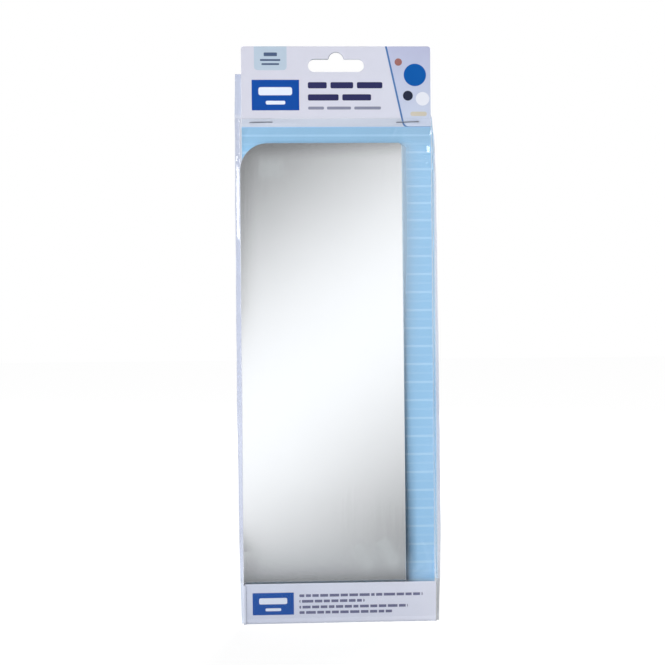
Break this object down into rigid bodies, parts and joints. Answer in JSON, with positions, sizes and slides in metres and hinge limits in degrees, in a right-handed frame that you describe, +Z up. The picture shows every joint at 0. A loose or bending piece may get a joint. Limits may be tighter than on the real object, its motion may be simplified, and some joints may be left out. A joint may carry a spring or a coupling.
{
  "type": "icing smoother",
  "caption": "Plain stainless icing smoother blade with a large round corner, standing in a folded card pocket with a hang hole, inside a stapled clear film bag.",
  "frame": {"origin": "centre of the hang hole, half way through the card's thickness", "axes": "+Z up along the blade, front of the pack towards -Y, +X to the right as seen from the front"},
  "size_m": [0.1116, 0.008, 0.3134],
  "materials": {
    "blade_steel": "bright, fine satin",
    "printed_card": "coated and printed, matt",
    "clear_film": "clear glossy film",
    "staple_wire": "galvanised wire"
  },
  "bodies": {
    "pack": {"backing_card": "printed_card", "clear_bag": "clear_film", "staple_left": "staple_wire", "staple_right": "staple_wire"},
    "blade": {"scraper_blade": "blade_steel"}
  },
  "joints": [
    {"name": "blade_slide", "type": "slide", "parent": "pack", "child": "blade", "axis": [0, 0, 1], "range_m": [-0.0045, 0.008]}
  ]
}
